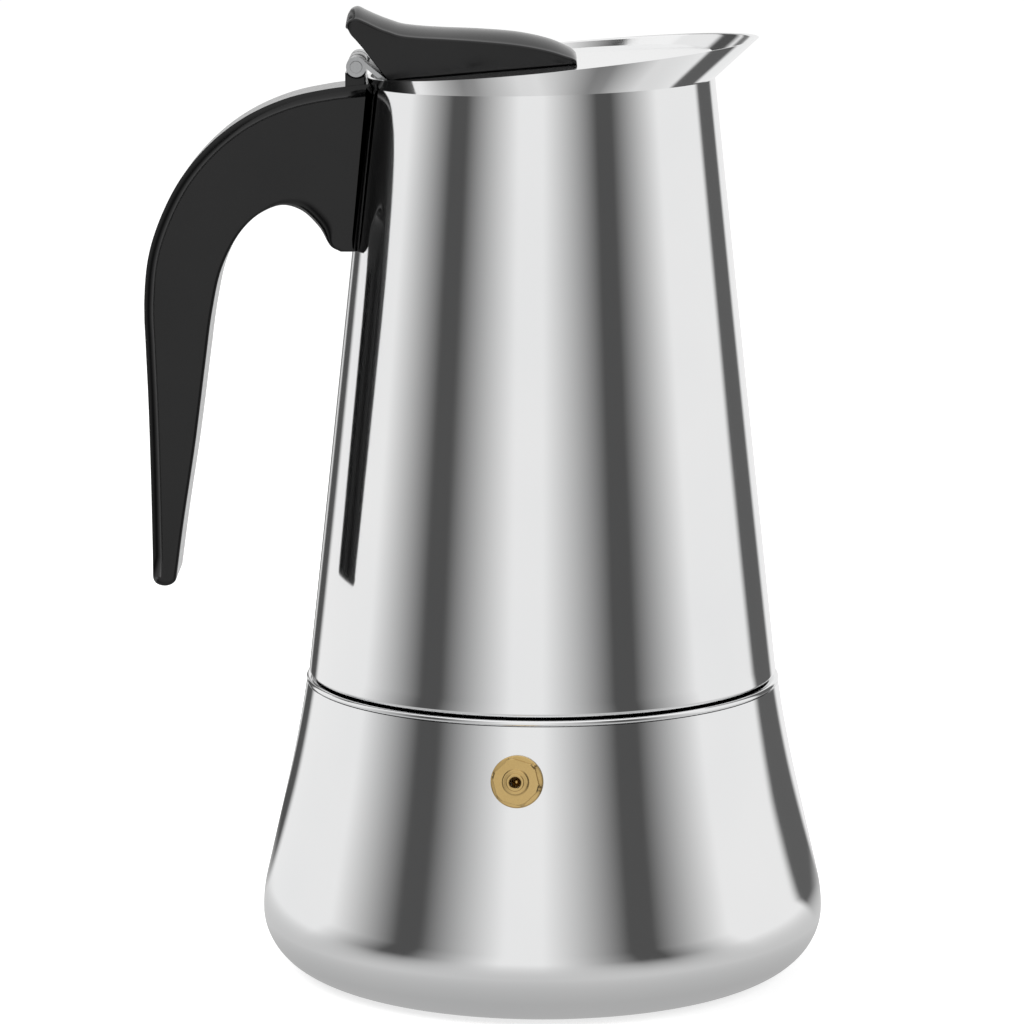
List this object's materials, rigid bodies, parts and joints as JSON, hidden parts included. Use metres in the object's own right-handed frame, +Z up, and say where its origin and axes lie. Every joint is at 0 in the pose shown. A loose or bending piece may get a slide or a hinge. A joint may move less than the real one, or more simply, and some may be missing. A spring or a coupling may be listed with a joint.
{
  "type": "moka pot",
  "caption": "Stovetop moka pot: tapered steel boiler, screwed-on tall pot with flared spout, hinged lid, black curved handle and thumb knob, brass valve.",
  "frame": {"origin": "centre of the flat base, on the surface the pot stands on", "axes": "+Z up, +X towards the spout, -X towards the handle, -Y towards the safety valve"},
  "size_m": [0.1412, 0.118, 0.202],
  "materials": {
    "polished_steel": "mirror polished stainless steel",
    "plain_steel": "plain stainless sheet, inside and threads",
    "spring_steel": "drawn wire",
    "valve_brass": "turned brass",
    "black_bakelite": "satin black moulded phenolic",
    "white_silicone": "soft moulded silicone"
  },
  "bodies": {
    "boiler": {"boiler_shell": "polished_steel", "neck_ring": "plain_steel", "valve_body": "valve_brass", "valve_washer": "white_silicone", "valve_nut": "valve_brass", "valve_seat_ring": "valve_brass", "valve_spring": "spring_steel"},
    "valve_pin": {"valve_plunger": "valve_brass", "valve_seal": "white_silicone"},
    "funnel": {"funnel_basket": "plain_steel", "funnel_stem": "plain_steel", "funnel_screen": "plain_steel"},
    "filter_seat": {"gasket": "white_silicone", "filter_plate": "plain_steel"},
    "pot": {"pot_shell": "polished_steel", "thread_collar": "plain_steel", "pot_floor": "plain_steel", "column": "plain_steel", "column_cap": "plain_steel", "handle": "black_bakelite", "handle_bracket": "plain_steel", "handle_screw": "plain_steel", "hinge_pin": "polished_steel"},
    "lid": {"lid_plate": "polished_steel", "hinge_strap": "polished_steel", "lid_knob": "black_bakelite", "knob_screws": "plain_steel"}
  },
  "joints": [
    {"name": "pot_rise", "type": "slide", "parent": "boiler", "child": "filter_seat", "axis": [0, 0, 1], "range_m": [0, 0.01401]},
    {"name": "pot_turn", "type": "hinge", "parent": "filter_seat", "child": "pot", "pos_m": [0, 0, 0.0773], "axis": [0, 0, 1], "range_deg": [0, 1440]},
    {"name": "funnel_lift", "type": "slide", "parent": "boiler", "child": "funnel", "axis": [0, 0, 1], "range_m": [0, 0.00701]},
    {"name": "lid_hinge", "type": "hinge", "parent": "pot", "child": "lid", "pos_m": [-0.038, 0, 0.19015], "axis": [0, -1, 0], "range_deg": [0, 95]},
    {"name": "valve_lift", "type": "slide", "parent": "boiler", "child": "valve_pin", "axis": [-0.0967, -0.9778, 0.186], "range_m": [0, 0.0012], "stiffness_N_per_m": 800, "springref_m": -0.0015, "deforming": ["valve_spring"]}
  ],
  "couplings": [
    {"joint": "pot_rise", "follows": "pot_turn", "m_per_rad": 0.00055704},
    {"joint": "funnel_lift", "follows": "pot_turn", "m_per_rad": 0.00027852}
  ]
}
